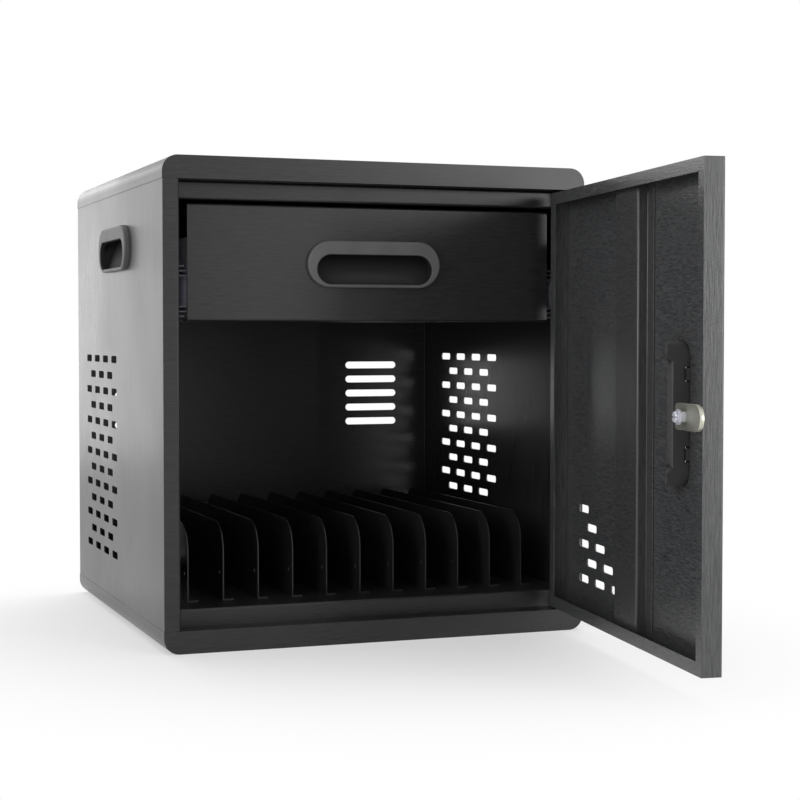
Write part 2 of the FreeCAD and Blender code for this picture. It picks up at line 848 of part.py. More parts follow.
# Cam lock: barrel and nut on the door, plug, cam, bush and screw turning in it
lock_at = V(lock_x, front_y, middle_level)
barrel = disc(lock_flange_radius, 0, lock_flange_height)
barrel = barrel.fuse(disc(lock_barrel_radius, -lock_barrel_length, 0)).removeSplitter()
bore_radius = plug_radius + plug_fit
barrel = barrel.cut(disc(bore_radius, -lock_barrel_length - overrun, lock_flange_height + overrun))
corner = RIGHT * (lock_nut_across_corners / 2) - UP * (sheet + lock_nut_height)
hexagon = [FreeCAD.Rotation(UP, side * 60).multVec(corner) for side in range(7)]
nut = Part.Face(Part.makePolygon(hexagon)).extrude(UP * lock_nut_height)
nut = nut.cut(disc(lock_barrel_radius + lock_nut_fit, -sheet - lock_nut_height - overrun, overrun))
plug_top = lock_flange_height - plug_inset
cam_back = -cam_depth - cam_thickness
shank_end = cam_back - cam_hub_height - cam_flange_height + cam_shank_length
plug = disc(plug_radius, -cam_depth, plug_top)
drive = prism(rectangle(drive_side, drive_side, 0), plan(cam_back + drive_inset), UP * cam_thickness)
keyway = prism(
    rectangle(keyway_width, keyway_height, 0),
    plan(plug_top - keyway_depth),
    UP * (keyway_depth + overrun),
)
plug = plug.fuse(drive).removeSplitter().cut(keyway)
plug = plug.cut(disc(cam_shank_radius + cam_shank_fit, cam_back - overrun, shank_end + cam_shank_fit))
cam_half = cam_width / 2
cam_outline = [
    (-cam_tail, -cam_half, cam_tail_corner),
    (cam_reach, -cam_half, cam_half),
    (cam_reach, cam_half, cam_half),
    (-cam_tail, cam_half, cam_tail_corner),
]
cam = prism(cam_outline, plan(cam_back), UP * cam_thickness)
drive_hole = drive_side + drive_fit + drive_fit
cam = cam.cut(prism(
    rectangle(drive_hole, drive_hole, 0),
    plan(cam_back - overrun),
    UP * (cam_thickness + overrun + overrun),
))
hub_back = cam_back - cam_hub_height
flange_back = hub_back - cam_flange_height
bush = disc(cam_hub_radius, hub_back, cam_back).fuse(disc(cam_flange_radius, flange_back, hub_back))
shank_hole = cam_shank_radius + cam_shank_fit
bush = bush.removeSplitter().cut(disc(shank_hole, flange_back - overrun, cam_back + overrun))
head_back = flange_back - cam_head_height
screw = disc(cam_head_radius, head_back, flange_back)
crown = [edge for edge in screw.Edges if edge.BoundBox.ZMax < head_back + join_tolerance]
screw = screw.makeFillet(cam_head_edge, crown)
screw = screw.fuse(disc(cam_shank_radius, flange_back, shank_end)).removeSplitter()
slot = rectangle(cam_head_radius + cam_head_radius, cam_slot_width, 0)
screw = screw.cut(prism(slot, plan(head_back), UP * cam_slot_depth))
lock_pieces = (
    ("lock_barrel", barrel),
    ("lock_nut", nut),
    ("lock_plug", plug),
    ("lock_cam", cam),
    ("cam_bush", bush),
    ("cam_screw", screw),
)
for name, piece in lock_pieces:
    write(name, on_door(placed(piece, lock_at, -RIGHT, -BACK)))

# Drawer front, folded back along its top and bottom edges
front_path = [
    (recess_y + drawer_return, drawer_top),
    (recess_y, drawer_top),
    (recess_y, drawer_base),
    (recess_y + drawer_return, drawer_base),
]
drawer_front = prism(folded(front_path), sideways(-drawer_half), RIGHT * (drawer_half + drawer_half))
pull_cut = placed(pull_hole, V(0, recess_y, drawer_pull_level), RIGHT, -BACK)
write("drawer_front", drawer_front.cut(pull_cut))

# Drawer tray behind it, with two cord notches in the back wall
tray_top = tray_base + tray_height
tray = box((-tray_side, tray_side), (tray_front_y, tray_back_y), (tray_base, tray_top))
inside = tray_side - sheet
tray = tray.cut(box(
    (-inside, inside),
    (tray_front_y - overrun, tray_back_y - sheet),
    (tray_base + sheet, tray_top + overrun),
))
notch_half = tray_side * tray_notch_width_share / 2
notch_shift = tray_side * tray_notch_shift_share
for hand in (-notch_shift, notch_shift):
    notch = [
        (hand - notch_half, tray_top + overrun, 0),
        (hand - notch_half, tray_top - tray_notch_depth, tray_notch_radius),
        (hand + notch_half, tray_top - tray_notch_depth, tray_notch_radius),
        (hand + notch_half, tray_top + overrun, 0),
    ]
    tray = tray.cut(prism(notch, facing(tray_back_y - sheet - overrun), through))
write("drawer_tray", tray)

# Telescopic slides: a bracket off the side wall and three nested rails on each side
half_outer = slide_height / 2
half_mid = half_outer - sheet - slide_ball
half_inner = half_mid - sheet - slide_ball
mid_web = slide_mount - sheet - slide_gap
inner_reach = mid_web - sheet - slide_gap
bracket_half = half_outer + bracket_margin
bracket_path = [
    (wall_in, slide_level + bracket_half),
    (slide_mount, slide_level + bracket_half),
    (slide_mount, slide_level - bracket_half),
    (wall_in, slide_level - bracket_half),
]
slide_pieces = (
    ("slide_bracket", prism(folded(bracket_path), facing(slide_start), BACK * slide_length)),
    ("outer_rail", rail(slide_mount, tray_side + slide_flange_step + slide_flange_step, half_outer, 1)),
    ("mid_rail", rail(mid_web, tray_side + slide_flange_step, half_mid, 1)),
    ("inner_rail", rail(tray_side, inner_reach, half_inner, -1)),
)
for name, piece in slide_pieces:
    write("right_" + name, piece)
    write("left_" + name, mirrored(piece))

# Power strip with its outlets and rocker on the drawer floor
strip_top = tray_base + sheet + strip_height
strip_at = V(0, tray_back_y - sheet - strip_back_gap - strip_width / 2, strip_top)
strip = prism(rectangle(strip_length, strip_width, strip_corner), plan(-strip_height), UP * strip_height)
well = rocker_pocket()
well.translate(RIGHT * strip_switch_at)
strip = strip.cut(well)
outlets = []
for number in range(outlet_count):
    outlet_x = (number + 1 / 2) * outlet_pitch - strip_length / 2
    recess = shifted(rectangle(outlet_side, outlet_side, outlet_corner), outlet_x, 0)
    strip = strip.cut(prism(recess, plan(-outlet_depth), UP * (outlet_depth + overrun)))
    side = outlet_side - outlet_fit - outlet_fit
    face = shifted(rectangle(side, side, outlet_corner), outlet_x, 0)
    outlet = prism(face, plan(-outlet_depth), UP * outlet_depth)
    slot = rectangle(outlet_slot_width, outlet_side * outlet_slot_height_share, 0)
    reach = outlet_side * outlet_slot_spacing_share / 2
    for hand in (-reach, reach):
        place = shifted(slot, outlet_x + hand, 0)
        outlet = outlet.cut(prism(place, plan(-outlet_slot_depth), UP * (outlet_slot_depth + overrun)))
    ground = RIGHT * outlet_x - BACK * (outlet_side * outlet_ground_shift_share)
    ground_radius = outlet_side * outlet_ground_radius_share
    outlets.append(outlet.cut(disc(ground_radius, -outlet_slot_depth, overrun, ground)))
write("power_strip", placed(strip, strip_at, RIGHT, UP))
write("strip_outlets", placed(Part.makeCompound(outlets), strip_at, RIGHT, UP))
write("strip_rocker", placed(rocker(), strip_at + RIGHT * strip_switch_at, RIGHT, UP))
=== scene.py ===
"""Looks of a steel charging cabinet: finishes, small slide and screw parts, studio and camera."""

import logging
from collections.abc import Callable, Iterable
from dataclasses import dataclass, replace
from enum import Enum
from math import pi, radians

import bpy
from mathutils import Matrix, Vector


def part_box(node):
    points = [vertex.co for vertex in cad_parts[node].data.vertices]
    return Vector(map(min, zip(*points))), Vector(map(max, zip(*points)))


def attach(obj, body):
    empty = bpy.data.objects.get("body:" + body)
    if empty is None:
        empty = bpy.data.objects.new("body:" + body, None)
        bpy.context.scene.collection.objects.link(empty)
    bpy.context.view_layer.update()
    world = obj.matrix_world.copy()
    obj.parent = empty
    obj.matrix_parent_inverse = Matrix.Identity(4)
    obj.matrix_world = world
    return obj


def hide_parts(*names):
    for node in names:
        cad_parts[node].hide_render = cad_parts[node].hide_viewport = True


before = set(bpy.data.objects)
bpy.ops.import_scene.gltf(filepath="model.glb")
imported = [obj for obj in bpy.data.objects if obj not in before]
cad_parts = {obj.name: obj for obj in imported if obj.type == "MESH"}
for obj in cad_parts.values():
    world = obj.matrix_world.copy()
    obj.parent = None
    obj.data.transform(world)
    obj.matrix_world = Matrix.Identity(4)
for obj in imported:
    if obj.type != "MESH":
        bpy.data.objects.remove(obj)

LOG = logging.getLogger("charging_cabinet")
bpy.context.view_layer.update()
MM = 0.001
WHITE = (1.0, 1.0, 1.0, 1.0)
NODE_SPACING = (180.0, 160.0)
NODE_ROWS = 3
WELD_REACH = 0.01 * MM
EDGE_SEGMENTS = 2
SHARP_ANGLE = radians(50.0)
FLAT_ON = 0.9

Colour = tuple[float, float, float]
Triple = tuple[float, float, float]
Pair = tuple[float, float]
Ramp = tuple[Pair, Pair]
Feed = float | Triple | tuple[float, float, float, float] | bpy.types.NodeSocket


class Body(Enum):
    """Moving bodies of the cabinet that a new piece can ride on."""

    CABINET = "cabinet"
    MID_RAILS = "mid_rails"


class GrainRun(Enum):
    """How the brushed lines run on a folded sheet.

    Each value holds the stretch of the level lines, the direction that the faces with upright
    lines look in and the stretch of the upright lines.
    """

    CABINET = ((60.0, 900.0, 900.0), (1.0, 0.0, 0.0), (260.0, 260.0, 20.0))
    DOOR = ((110.0, 110.0, 800.0), (0.127, 0.992, 0.0), (700.0, 700.0, 60.0))

    @property
    def level_scale(self) -> Triple:
        """Stretch of the lines that lie level."""
        return self.value[0]

    @property
    def upright_side(self) -> Triple:
        """Direction of the faces whose lines stand upright."""
        return self.value[1]

    @property
    def upright_scale(self) -> Triple:
        """Stretch of the lines that stand upright."""
        return self.value[2]


class NodeBench:
    """Adds and wires the nodes of one material, world or node group."""

    def __init__(self, tree: bpy.types.NodeTree) -> None:
        """Clear the tree and start at its left end.

        Args:
            tree: The node tree to fill.
        """
        self.tree = tree
        self.tree.nodes.clear()
        self.column = 0

    def add(self, kind: str, settings: dict[str, object] | None = None, **feeds: Feed) -> bpy.types.Node:
        """Add a node, set its options and feed its inputs.

        Args:
            kind: Type name of the node.
            settings: Options of the node by attribute name.
            feeds: Input values or sockets by input name, with underscores for spaces.

        Returns:
            The new node.
        """
        node = self.tree.nodes.new(kind)
        across, down = NODE_SPACING
        node.location = (self.column * across, -(self.column % NODE_ROWS) * down)
        self.column += 1
        for option, value in (settings or {}).items():
            setattr(node, option, value)
        for name, value in feeds.items():
            self.feed(node.inputs[name.replace("_", " ")], value)
        return node

    def feed(self, socket: bpy.types.NodeSocket, value: Feed) -> None:
        """Link a socket to an input, or set a plain value on it.

        Args:
            socket: The input to feed.
            value: A socket to link or a value to set.
        """
        if isinstance(value, bpy.types.NodeSocket):
            self.tree.links.new(value, socket)
        else:
            socket.default_value = value

    def math(self, operation: str, first: Feed, second: Feed) -> bpy.types.NodeSocket:
        """Combine two values.

        Args:
            operation: Name of the sum.
            first: First value or socket.
            second: Second value or socket.

        Returns:
            The result's socket.
        """
        node = self.add("ShaderNodeMath", {"operation": operation})
        self.feed(node.inputs[0], first)
        self.feed(node.inputs[1], second)
        return node.outputs[0]

    def span(self, value: Feed, low: Pair, high: Pair) -> bpy.types.NodeSocket:
        """Map one range of values to another, clamped.

        Args:
            value: Value or socket to map.
            low: Low ends of the two ranges, source then target.
            high: High ends of the two ranges, source then target.

        Returns:
            The mapped socket.
        """
        node = self.add(
            "ShaderNodeMapRange",
            {"clamp": True},
            Value=value,
            From_Min=low[0],
            From_Max=high[0],
            To_Min=low[1],
            To_Max=high[1],
        )
        return node.outputs[0]

    def mix_colour(self, share: Feed, first: Colour, second: Colour) -> bpy.types.NodeSocket:
        """Mix two colours.

        Args:
            share: Share of the second colour.
            first: First colour.
            second: Second colour.

        Returns:
            The mixed colour's socket.
        """
        node = self.add("ShaderNodeMix", {"data_type": "RGBA"})
        self.feed(node.inputs[0], share)
        self.feed(node.inputs[6], (*first, 1.0))
        self.feed(node.inputs[7], (*second, 1.0))
        return node.outputs[2]

    def mix_value(self, share: Feed, first: Feed, second: Feed) -> bpy.types.NodeSocket:
        """Mix two values.

        Args:
            share: Share of the second value.
            first: First value.
            second: Second value.

        Returns:
            The mixed value's socket.
        """
        node = self.add("ShaderNodeMix", {"data_type": "FLOAT"})
        self.feed(node.inputs[0], share)
        self.feed(node.inputs[2], first)
        self.feed(node.inputs[3], second)
        return node.outputs[0]


class EffectGroups:
    """Shared surface effects, each built once as a node group."""

    line_detail: float = 4.0
    line_roughness: float = 0.6
    upright_ramp: Ramp = ((0.6, 0.0), (0.8, 1.0))
    streak_ramp: Ramp = ((0.3, 0.0), (0.7, 1.0))
    cloud_detail: float = 3.0
    cloud_roughness: float = 0.55
    cloud_ramp: Ramp = ((0.35, 0.0), (0.65, 1.0))
    pebble_detail: float = 2.0
    pebble_noise_share: float = 0.5
    pebble_ramp: Ramp = ((0.25, 0.0), (0.6, 1.0))

    def __init__(self) -> None:
        """Build the groups."""
        self.grain = self._brushed_grain()
        self.haze = self._handling_haze()
        self.pebble = self._moulded_pebble()

    def _group(self, name: str, takes: dict[str, str], gives: Iterable[str]) -> bpy.types.NodeTree:
        """Start a group with named sockets.

        Args:
            name: Name of the group.
            takes: Input names with their kind of socket.
            gives: Names of the float outputs.

        Returns:
            The empty group.
        """
        group = bpy.data.node_groups.new(name, "ShaderNodeTree")
        for socket, kind in takes.items():
            group.interface.new_socket(name=socket, in_out="INPUT", socket_type=kind)
        for socket in gives:
            group.interface.new_socket(name=socket, in_out="OUTPUT", socket_type="NodeSocketFloat")
        return group

    def _brushed_grain(self) -> bpy.types.NodeTree:
        """Fine brushed lines, level on most faces and upright on the faces that look to one side.

        Returns:
            The group, with a Streak mask and a Height.
        """
        group = self._group(
            "brushed_grain",
            {
                "Vector": "NodeSocketVector",
                "Facing": "NodeSocketVector",
                "Upright Side": "NodeSocketVector",
                "Level Scale": "NodeSocketVector",
                "Upright Scale": "NodeSocketVector",
            },
            ("Streak", "Height"),
        )
        bench = NodeBench(group)
        given = bench.add("NodeGroupInput").outputs
        lines = []
        for scale in ("Level Scale", "Upright Scale"):
            stretched = bench.add("ShaderNodeMapping", Vector=given["Vector"], Scale=given[scale])
            noise = bench.add(
                "ShaderNodeTexNoise",
                Vector=stretched.outputs[0],
                Scale=1.0,
                Detail=self.line_detail,
                Roughness=self.line_roughness,
            )
            lines.append(noise.outputs[0])
        facing = bench.add("ShaderNodeVectorMath", {"operation": "DOT_PRODUCT"})
        bench.feed(facing.inputs[0], given["Facing"])
        bench.feed(facing.inputs[1], given["Upright Side"])
        sideways = bench.math("ABSOLUTE", facing.outputs["Value"], 0.0)
        upright = bench.span(sideways, *self.upright_ramp)
        height = bench.mix_value(upright, lines[0], lines[1])
        streak = bench.span(height, *self.streak_ramp)
        bench.add("NodeGroupOutput", Streak=streak, Height=height)
        return group

    def _handling_haze(self) -> bpy.types.NodeTree:
        """Broad soft clouds of handling and cleaning on a surface.

        Returns:
            The group, with a Haze mask.
        """
        group = self._group(
            "handling_haze",
            {"Vector": "NodeSocketVector", "Size": "NodeSocketFloat"},
            ("Haze",),
        )
        bench = NodeBench(group)
        given = bench.add("NodeGroupInput").outputs
        noise = bench.add(
            "ShaderNodeTexNoise",
            Vector=given["Vector"],
            Scale=given["Size"],
            Detail=self.cloud_detail,
            Roughness=self.cloud_roughness,
        )
        haze = bench.span(noise.outputs[0], *self.cloud_ramp)
        bench.add("NodeGroupOutput", Haze=haze)
        return group

    def _moulded_pebble(self) -> bpy.types.NodeTree:
        """Fine pebbled texture of a moulding or a tumbled metal part.

        Returns:
            The group, with a Pebble mask and a Height.
        """
        group = self._group(
            "moulded_pebble",
            {"Vector": "NodeSocketVector", "Size": "NodeSocketFloat"},
            ("Pebble", "Height"),
        )
        bench = NodeBench(group)
        given = bench.add("NodeGroupInput").outputs
        cells = bench.add("ShaderNodeTexVoronoi", Vector=given["Vector"], Scale=given["Size"])
        noise = bench.add(
            "ShaderNodeTexNoise",
            Vector=given["Vector"],
            Scale=given["Size"],
            Detail=self.pebble_detail,
        )
        height = bench.mix_value(self.pebble_noise_share, cells.outputs["Distance"], noise.outputs[0])
        pebble = bench.span(height, *self.pebble_ramp)
        bench.add("NodeGroupOutput", Pebble=pebble, Height=height)
        return group


@dataclass(frozen=True)
class BrushedPaint:
    """Dark satin paint over brushed sheet steel."""

    name: str
    grain: GrainRun
    dark: Colour = (0.008, 0.008, 0.008)
    pale: Colour = (0.020, 0.020, 0.021)
    low_roughness: float = 0.26
    high_roughness: float = 0.35
    haze_size: float = 7.0
    bump: float = 0.16
    bump_depth: float = 0.12 * MM
    sheen: float = 0.36
    streak_share: float = 0.5

    def material(self, groups: EffectGroups) -> bpy.types.Material:
        """Build the finish.

        Args:
            groups: Shared surface effects.

        Returns:
            The material.
        """
        material = bpy.data.materials.new(self.name)
        material.use_nodes = True
        bench = NodeBench(material.node_tree)
        place = bench.add("ShaderNodeTexCoord").outputs
        grain = bench.add(
            "ShaderNodeGroup",
            {"node_tree": groups.grain},
            Vector=place["Object"],
            Facing=place["Normal"],
            Upright_Side=self.grain.upright_side,
            Level_Scale=self.grain.level_scale,
            Upright_Scale=self.grain.upright_scale,
        ).outputs
        haze = bench.add(
            "ShaderNodeGroup",
            {"node_tree": groups.haze},
            Vector=place["Object"],
            Size=self.haze_size,
        ).outputs["Haze"]
        surface_mask = bench.mix_value(self.streak_share, haze, grain["Streak"])
        bump = bench.add(
            "ShaderNodeBump", Strength=self.bump, Distance=self.bump_depth, Height=grain["Height"]
        )
        shader = bench.add(
            "ShaderNodeBsdfPrincipled",
            Base_Color=bench.mix_colour(grain["Streak"], self.dark, self.pale),
            Roughness=bench.span(surface_mask, (0.0, self.low_roughness), (1.0, self.high_roughness)),
            Specular_IOR_Level=self.sheen,
            Normal=bump.outputs[0],
        )
        bench.add("ShaderNodeOutputMaterial", Surface=shader.outputs[0])
        return material


@dataclass(frozen=True)
class PebbledPart:
    """Moulded plastic or metal with a fine pebbled skin and soft clouds.

    Painted shade darkens the piece's hollows, found by occlusion within a reach, and the faces that look
    towards one side.
    """

    name: str
    dark: Colour
    pale: Colour
    dark_roughness: float
    pale_roughness: float
    metallic: float = 0.0
    pebble_size: float = 1800.0
    haze_size: float = 40.0
    bump: float = 0.1
    bump_depth: float = 0.08 * MM
    sheen: float = 0.5
    pebble_share: float = 0.4
    # Painted shade in the hollows: where occlusion within this reach is high, the colour goes to the dark
    # one.
    hollow_shade_reach: float = 0.0
    hollow_shade_samples: int = 8
    hollow_shade_ramp: Ramp = ((0.85, 0.0), (0.99, 1.0))
    wear_range_under_hollow_shade: Ramp = ((0.0, 0.75), (1.0, 1.0))
    # Painted shade on the faces that look towards this side: they take the dark colour.
    painted_shade_side: Triple = (0.0, 0.0, 0.0)
    painted_shade_side_ramp: Ramp = ((0.4, 1.0), (0.6, 0.0))
    wear_range_under_side_shade: Ramp = ((0.0, 0.8), (1.0, 1.0))

    def material(self, groups: EffectGroups) -> bpy.types.Material:
        """Build the finish.

        Args:
            groups: Shared surface effects.

        Returns:
            The material.
        """
        material = bpy.data.materials.new(self.name)
        material.use_nodes = True
        bench = NodeBench(material.node_tree)
        given = bench.add("ShaderNodeTexCoord").outputs
        place = given["Object"]
        pebble = bench.add(
            "ShaderNodeGroup", {"node_tree": groups.pebble}, Vector=place, Size=self.pebble_size
        ).outputs
        haze = bench.add(
            "ShaderNodeGroup", {"node_tree": groups.haze}, Vector=place, Size=self.haze_size
        ).outputs["Haze"]
        surface_mask = bench.mix_value(self.pebble_share, haze, pebble["Pebble"])
        # Painted shade: the piece's hollows, found by occlusion, take the dark colour.
        if self.hollow_shade_reach:
            open_air = bench.add(
                "ShaderNodeAmbientOcclusion",
                {"samples": self.hollow_shade_samples, "only_local": True},
                Distance=self.hollow_shade_reach,
            )
            clear = bench.span(open_air.outputs["AO"], *self.hollow_shade_ramp)
            surface_mask = bench.math("MULTIPLY", bench.span(surface_mask, *self.wear_range_under_hollow_shade), clear)
        # Painted shade: the faces that look towards the shaded side take the dark colour.
        if any(self.painted_shade_side):
            facing = bench.add("ShaderNodeVectorMath", {"operation": "DOT_PRODUCT"})
            bench.feed(facing.inputs[0], given["Normal"])
            bench.feed(facing.inputs[1], self.painted_shade_side)
            clear = bench.span(facing.outputs["Value"], *self.painted_shade_side_ramp)
            surface_mask = bench.math("MULTIPLY", bench.span(surface_mask, *self.wear_range_under_side_shade), clear)
        bump = bench.add(
            "ShaderNodeBump", Strength=self.bump, Distance=self.bump_depth, Height=pebble["Height"]
        )
        shader = bench.add(
            "ShaderNodeBsdfPrincipled",
            Base_Color=bench.mix_colour(surface_mask, self.dark, self.pale),
            Roughness=bench.span(surface_mask, (0.0, self.dark_roughness), (1.0, self.pale_roughness)),
            Metallic=self.metallic,
            Specular_IOR_Level=self.sheen,
            Normal=bump.outputs[0],
        )
        bench.add("ShaderNodeOutputMaterial", Surface=shader.outputs[0])
        return material


Finish = BrushedPaint | PebbledPart

CABINET_PAINT = BrushedPaint("cabinet_paint", GrainRun.CABINET)
# A paler copy of the cabinet's paint, with the door's own grain: the paler colour is painted light on the
# door's inner face.
LIT_DOOR_PAINT = BrushedPaint(
    "lit_door_paint",
    GrainRun.DOOR,
    (0.018, 0.019, 0.020),
    (0.060, 0.061, 0.063),
    low_roughness=0.29,
    high_roughness=0.36,
    bump=1.0,
    bump_depth=0.16 * MM,
    sheen=0.6,
)
STIFFENER_PAINT = replace(
    LIT_DOOR_PAINT,
    name="stiffener_paint",
    dark=(0.020, 0.020, 0.021),
    pale=(0.044, 0.044, 0.045),
    bump_depth=0.1 * MM,
)
# Its dark colour is mostly painted shade in the hollows of the pulls and handles.
PULL_PLASTIC = PebbledPart(
    "pull_plastic",
    (0.006, 0.006, 0.006),
    (0.098, 0.098, 0.099),
    dark_roughness=0.7,
    pale_roughness=0.48,
    pebble_size=2600.0,
    sheen=0.3,
    hollow_shade_reach=40.0 * MM,
)
# A darker copy of the pull plastic: painted shade on the pull that sits on the door's inner face.
SHADED_PULL_PLASTIC = replace(PULL_PLASTIC, name="shaded_pull_plastic", pale=(0.052, 0.052, 0.053))
# Its dark colour is painted shade on the front ends and undersides of the rails and the tray.
ZINC = PebbledPart(
    "zinc_plate",
    (0.050, 0.050, 0.055),
    (0.60, 0.60, 0.67),
    dark_roughness=0.6,
    pale_roughness=0.42,
    metallic=0.15,
    pebble_size=900.0,
    painted_shade_side=(0.0, -0.7071, -0.7071),
)
HINGE_STEEL = PebbledPart("hinge_paint", (0.022, 0.022, 0.023), (0.036, 0.036, 0.037), 0.36, 0.46)
LOCK_METAL = PebbledPart("nickel_plate", (0.50, 0.51, 0.57), (0.58, 0.59, 0.65), 0.34, 0.44, metallic=0.5)
CAM_STEEL = PebbledPart("cam_plate", (0.44, 0.44, 0.38), (0.51, 0.51, 0.44), 0.36, 0.46, metallic=1.0)
POWER_PLASTIC = PebbledPart("power_plastic", (0.022, 0.022, 0.022), (0.032, 0.032, 0.032), 0.45, 0.58)
OUTLET_PLASTIC = PebbledPart("outlet_plastic", (0.13, 0.13, 0.13), (0.17, 0.17, 0.17), 0.4, 0.5)
ROCKER_PLASTIC = PebbledPart(
    "rocker_plastic", (0.40, 0.020, 0.020), (0.48, 0.030, 0.030), 0.2, 0.3, bump=0.04
)
BRASS = PebbledPart("contact_brass", (0.66, 0.50, 0.24), (0.76, 0.60, 0.32), 0.22, 0.34, metallic=1.0)
BALL_STEEL = PebbledPart(
    "ball_steel", (0.66, 0.66, 0.67), (0.74, 0.74, 0.75), 0.12, 0.2, metallic=1.0, bump=0.02
)


class FinishShop:
    """Makes each material once and hands it out."""

    def __init__(self) -> None:
        """Build the shared effects."""
        self.groups = EffectGroups()
        self.made: dict[str, bpy.types.Material] = {}

    def get(self, finish: Finish) -> bpy.types.Material:
        """Give the material of a finish.

        Args:
            finish: The finish to make or find.

        Returns:
            Its material.
        """
        if finish.name not in self.made:
            self.made[finish.name] = finish.material(self.groups)
        return self.made[finish.name]


def deselect_all() -> None:
    """Select nothing, so that the next operator acts on its own piece alone."""
    bpy.ops.object.select_all(action="DESELECT")


def pick_faces(piece: bpy.types.Object, wanted: Callable[[bpy.types.MeshPolygon], bool]) -> None:
    """Select the faces of a piece that pass a test, then go into edit mode.

    Args:
        piece: The active piece, in object mode.
        wanted: Test on a face.
    """
    bpy.ops.object.mode_set(mode="EDIT")
    bpy.context.tool_settings.mesh_select_mode = (False, False, True)
    bpy.ops.mesh.select_all(action="DESELECT")
    bpy.ops.object.mode_set(mode="OBJECT")
    for face in piece.data.polygons:
        face.select = wanted(face)
    bpy.ops.object.mode_set(mode="EDIT")


def leave_edit() -> None:
    """Go back to object mode."""
    bpy.ops.object.mode_set(mode="OBJECT")


def finish_with(piece: bpy.types.Object, kind: str, settings: dict[str, object]) -> None:
    """Add a modifier to the active piece and apply it.

    Args:
        piece: The active piece.
        kind: Kind of modifier.
        settings: Its settings by name.
    """
    modifier = piece.modifiers.new(kind.lower(), kind)
    for name, value in settings.items():
        setattr(modifier, name, value)
    bpy.ops.object.modifier_apply(modifier=modifier.name)


def copy_to(piece: bpy.types.Object, name: str, place: Vector) -> bpy.types.Object:
    """Copy a modelled piece with its own mesh and set the copy's mesh in place.

    Args:
        piece: The piece modelled about the origin.
        name: Name of the copy.
        place: Where its middle goes.

    Returns:
        The copy.
    """
    copy = piece.copy()
    copy.data = piece.data.copy()
    copy.name = name
    copy.data.name = name
    copy.data.transform(Matrix.Translation(place))
    bpy.context.scene.collection.objects.link(copy)
    return copy


@dataclass
class SubAssembly:
    """Part of the cabinet that is dressed together."""

    shop: FinishShop

    def paint(self, nodes: Iterable[str], finish: Finish) -> None:
        """Give carried nodes their finish.

        Args:
            nodes: Names of the nodes.
            finish: The finish.
        """
        for name in nodes:
            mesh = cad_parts[name].data
            mesh.materials.clear()
            mesh.materials.append(self.shop.get(finish))
            LOG.info("dressed %s with %s", name, finish.name)

    def soften(self, nodes: Iterable[str], width: float) -> None:
        """Break the sharp edges of carried nodes so that they catch light.

        Args:
            nodes: Names of the nodes.
            width: Width of the broken edge.
        """
        for name in nodes:
            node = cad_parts[name]
            weld = node.modifiers.new("weld", "WELD")
            weld.merge_threshold = WELD_REACH
            edge = node.modifiers.new("broken_edges", "BEVEL")
            edge.width = width
            edge.segments = EDGE_SEGMENTS
            edge.limit_method = "ANGLE"
            edge.angle_limit = SHARP_ANGLE
            edge.harden_normals = True

    def adopt(self, piece: bpy.types.Object, finish: Finish, body: Body, slot: str) -> None:
        """Finish a new piece: its material and the body that it rides on.

        Args:
            piece: The new piece.
            finish: Its finish.
            body: The body that carries it.
            slot: Not used.
        """
        piece.data.materials.clear()
        piece.data.materials.append(self.shop.get(finish))
        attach(piece, body.value)
        LOG.info("built %s on %s", piece.name, body.value)


@dataclass
class CabinetShell(SubAssembly):
    """Caps, walls, front frame, back and carry handles."""

    edge: float = 0.35 * MM
    sheets: tuple[str, ...] = (
        "top_cap",
        "bottom_cap",
        "left_side_panel",
        "right_side_panel",
        "left_jamb",
        "right_jamb",
        "header_stop",
        "back_panel",
    )
    handles: tuple[str, ...] = ("left_carry_handle", "right_carry_handle")

    def build(self) -> None:
        """Dress the shell."""
        self.paint(self.sheets, CABINET_PAINT)
        self.paint(self.handles, PULL_PLASTIC)
        self.soften(("left_jamb", "right_jamb", "header_stop"), self.edge)


@dataclass
class DeviceBay(SubAssembly):
    """Floor with its turned-down sill and the row of divider fins."""

    dividers: int = 11
    edge: float = 0.3 * MM

    def build(self) -> None:
        """Dress the bay."""
        fins = tuple(f"divider_{number:02d}" for number in range(1, self.dividers + 1))
        self.paint(("bay_floor", *fins), CABINET_PAINT)
        self.soften(fins, self.edge)


@dataclass
class Door(SubAssembly):
    """Door pan, stiffener, pull and hinges."""

    edge: float = 0.35 * MM
    hinges: tuple[str, ...] = (
        "upper_hinge_jamb_leaf",
        "lower_hinge_jamb_leaf",
        "upper_hinge_door_leaf",
        "lower_hinge_door_leaf",
        "hinge_pins",
    )

    def build(self) -> None:
        """Dress the door."""
        self.paint(("door_panel",), LIT_DOOR_PAINT)
        self.paint(("door_stiffener",), STIFFENER_PAINT)
        self.paint(("door_pull",), SHADED_PULL_PLASTIC)
        self.paint(self.hinges, HINGE_STEEL)
        self.soften(("door_stiffener",), self.edge)


@dataclass
class CamLock(SubAssembly):
    """Barrel, plug, cam and their fixings."""

    edge: float = 0.3 * MM
    plated: tuple[str, ...] = ("lock_barrel", "lock_nut", "lock_plug", "cam_bush", "cam_screw")

    def build(self) -> None:
        """Dress the lock."""
        self.paint(self.plated, LOCK_METAL)
        self.paint(("lock_cam",), CAM_STEEL)
        self.soften(("lock_cam",), self.edge)


@dataclass
class Drawer(SubAssembly):
    """Drawer front, tray and pull."""

    edge: float = 0.35 * MM

    def build(self) -> None:
        """Dress the drawer."""
        self.paint(("drawer_front",), CABINET_PAINT)
        self.paint(("drawer_tray",), ZINC)
        self.paint(("drawer_pull",), PULL_PLASTIC)
        self.soften(("drawer_front",), self.edge)


